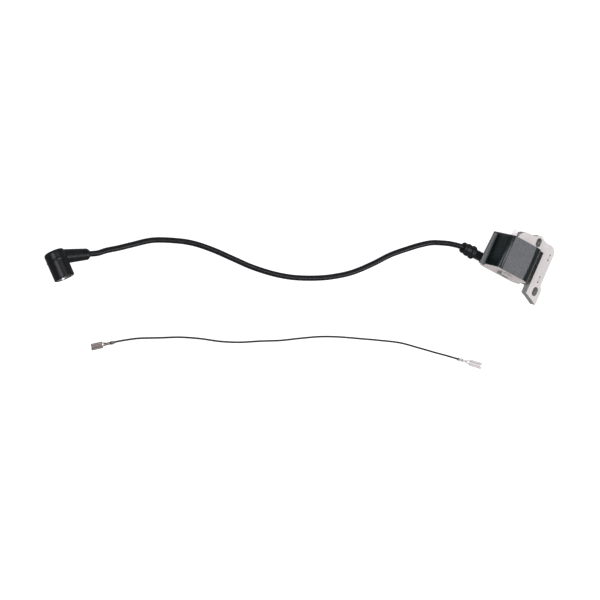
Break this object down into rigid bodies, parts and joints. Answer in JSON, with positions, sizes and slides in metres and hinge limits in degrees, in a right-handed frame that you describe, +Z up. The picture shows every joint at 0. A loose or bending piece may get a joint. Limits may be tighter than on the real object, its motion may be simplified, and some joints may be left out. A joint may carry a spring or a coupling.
{
  "type": "ignition coil",
  "caption": "Small-engine ignition module: laminated core with slotted fixing leg, potted coil case, rubber-booted plug lead with elbow cap, and a separate stop lead.",
  "frame": {"origin": "centre of the fixing slot at the pole end, on the core's seat face", "axes": "+Z up out of the core's front face, +Y from the poles to the yoke along the fixing leg, +X away from the plug lead"},
  "size_m": [0.4764, 0.273, 0.0358],
  "materials": {
    "core_stack": "satin, sheared edges",
    "core_sheet": "satin, rolled sheet",
    "case_plastic": "semi-gloss, moulded",
    "potting": "cast resin, slightly dull",
    "bobbin_plastic": "moulded",
    "enamelled_wire": "enamelled copper wire",
    "board": "solder resist",
    "component_black": "moulded",
    "component_tan": "lacquered",
    "plated_tab": "tin plated",
    "brass_part": "machined",
    "boot_rubber": "moulded rubber",
    "lead_jacket": "satin, extruded",
    "bare_copper": "stranded",
    "cap_rubber": "moulded rubber",
    "liner_metal": "drawn tube",
    "spring_steel": "drawn wire",
    "wire_jacket": "extruded",
    "dull_terminal": "dulled tin plate",
    "bright_terminal": "bright tin plate"
  },
  "bodies": {
    "coil": {"lamination_pack": "core_stack", "front_lamination": "core_sheet", "back_lamination": "core_sheet", "coil_case": "case_plastic", "potting_resin": "potting", "primary_bobbin": "bobbin_plastic", "primary_winding": "enamelled_wire", "secondary_bobbin": "bobbin_plastic", "secondary_winding": "enamelled_wire", "winding_leads": "enamelled_wire", "circuit_board": "board", "power_transistor": "component_black", "board_components": "component_tan", "stop_tab": "plated_tab", "high_tension_link": "enamelled_wire", "lead_spike": "brass_part", "lead_boot": "boot_rubber", "plug_lead_jacket": "lead_jacket", "plug_lead_conductor": "bare_copper"},
    "plug_cap": {"cap_elbow": "cap_rubber", "cap_liner": "liner_metal", "cap_spring": "spring_steel", "cap_contact": "brass_part"},
    "stop_lead": {"stop_wire_jacket": "wire_jacket", "stop_wire_strands": "bare_copper", "left_terminal": "dull_terminal", "right_terminal": "bright_terminal"}
  },
  "joints": [
    {"name": "plug_cap_turn", "type": "hinge", "parent": "coil", "child": "plug_cap", "pos_m": [-0.4605, -0.165, -0.0031], "axis": [-0.8788, -0.4772, 0], "range_deg": [-20, 70]},
    {"name": "stop_lead_lift", "type": "slide", "parent": "coil", "child": "stop_lead", "axis": [0, 0, 1], "range_m": [0, 0.1]}
  ]
}
